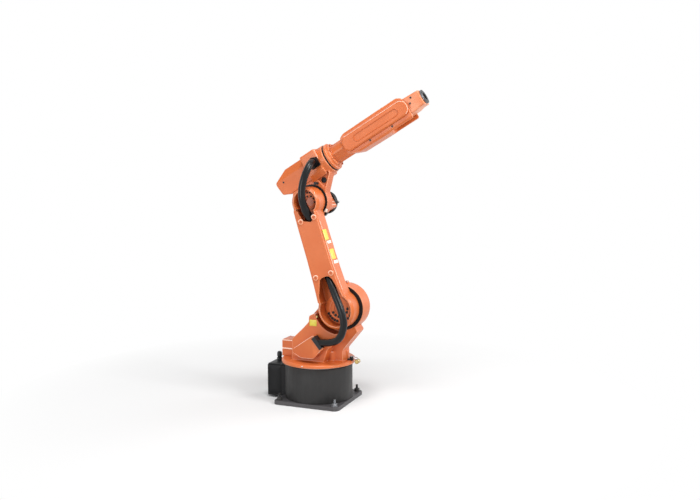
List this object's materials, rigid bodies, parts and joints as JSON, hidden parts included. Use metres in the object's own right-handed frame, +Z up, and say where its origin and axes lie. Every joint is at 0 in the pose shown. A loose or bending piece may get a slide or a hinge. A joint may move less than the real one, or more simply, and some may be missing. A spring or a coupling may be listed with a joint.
{
  "type": "industrial robot arm",
  "caption": "Floor-standing articulated industrial robot arm on a drum base, with a hollow leaning upper arm, a long covered forearm and a round tool flange",
  "frame": {"origin": "middle of the underside of the base plate, on the floor", "axes": "+X the working direction of the arm at rest, +Y the side of the shoulder and elbow motors, +Z up"},
  "size_m": [0.9449, 0.4278, 1.7587],
  "materials": {
    "orange_casting": "orange enamel on a light casting",
    "orange_cover": "orange enamel on a thin cast cover",
    "dark_iron": "dark grey enamel",
    "black_sheet": "black satin paint",
    "black_plastic": "black moulded",
    "bearing_steel": "oiled steel",
    "flange_steel": "blackened steel",
    "valve_brass": "turned brass",
    "hose_rubber": "black hose sleeve",
    "seal_rubber": "black lip seal"
  },
  "bodies": {
    "base": {"base_plate": "dark_iron", "base_drum": "dark_iron", "turn_bearing": "bearing_steel", "cable_box": "black_sheet", "cable_gland": "black_plastic"},
    "turret": {"turret_casting": "orange_casting", "turn_motor_box": "orange_cover", "hose_port": "orange_casting", "lower_socket": "black_plastic", "lower_hose": "hose_rubber", "shoulder_seal": "seal_rubber", "shoulder_motor": "orange_casting", "shoulder_cap": "black_plastic", "valve_bracket": "black_sheet", "air_valve": "valve_brass"},
    "upper_arm": {"arm_casting": "orange_casting", "arm_cover": "orange_cover", "shoulder_hub": "orange_casting", "elbow_hub": "orange_casting", "lower_clamp": "black_plastic", "upper_clamp": "black_plastic"},
    "elbow": {"elbow_casting": "orange_casting", "elbow_seal": "seal_rubber", "elbow_motor": "orange_casting", "elbow_cap": "black_plastic", "elbow_plug": "black_plastic", "roll_motor_cover": "orange_cover", "hose_plate": "black_sheet", "round_plug": "black_plastic", "oval_plug": "black_plastic", "roll_seal": "seal_rubber", "upper_hose": "hose_rubber"},
    "forearm": {"forearm_casting": "orange_casting", "side_cover_near": "orange_cover", "side_cover_far": "orange_cover"},
    "wrist": {"wrist_block": "orange_casting"},
    "tool": {"tool_flange": "flange_steel"}
  },
  "joints": [
    {"name": "base_turn", "type": "hinge", "parent": "base", "child": "turret", "pos_m": [0, 0, 0.23], "axis": [0, 0, 1], "range_deg": [-170, 170]},
    {"name": "shoulder_swing", "type": "hinge", "parent": "turret", "child": "upper_arm", "pos_m": [0.17, 0, 0.56], "axis": [0, 1, 0], "range_deg": [-48, 82], "deforming": ["lower_hose"]},
    {"name": "elbow_swing", "type": "hinge", "parent": "upper_arm", "child": "elbow", "pos_m": [-0.01127, 0, 1.15291], "axis": [0, -1, 0], "range_deg": [-90, 70], "deforming": ["upper_hose"]},
    {"name": "forearm_roll", "type": "hinge", "parent": "elbow", "child": "forearm", "pos_m": [0.08101, 0, 1.39735], "axis": [0.8572, 0, 0.515], "range_deg": [-170, 170]},
    {"name": "wrist_bend", "type": "hinge", "parent": "forearm", "child": "wrist", "pos_m": [0.51045, 0, 1.65539], "axis": [0, -1, 0], "range_deg": [-120, 120]},
    {"name": "tool_turn", "type": "hinge", "parent": "wrist", "child": "tool", "pos_m": [0.61674, 0, 1.71925], "axis": [0.8572, 0, 0.515], "range_deg": [-360, 360]}
  ]
}
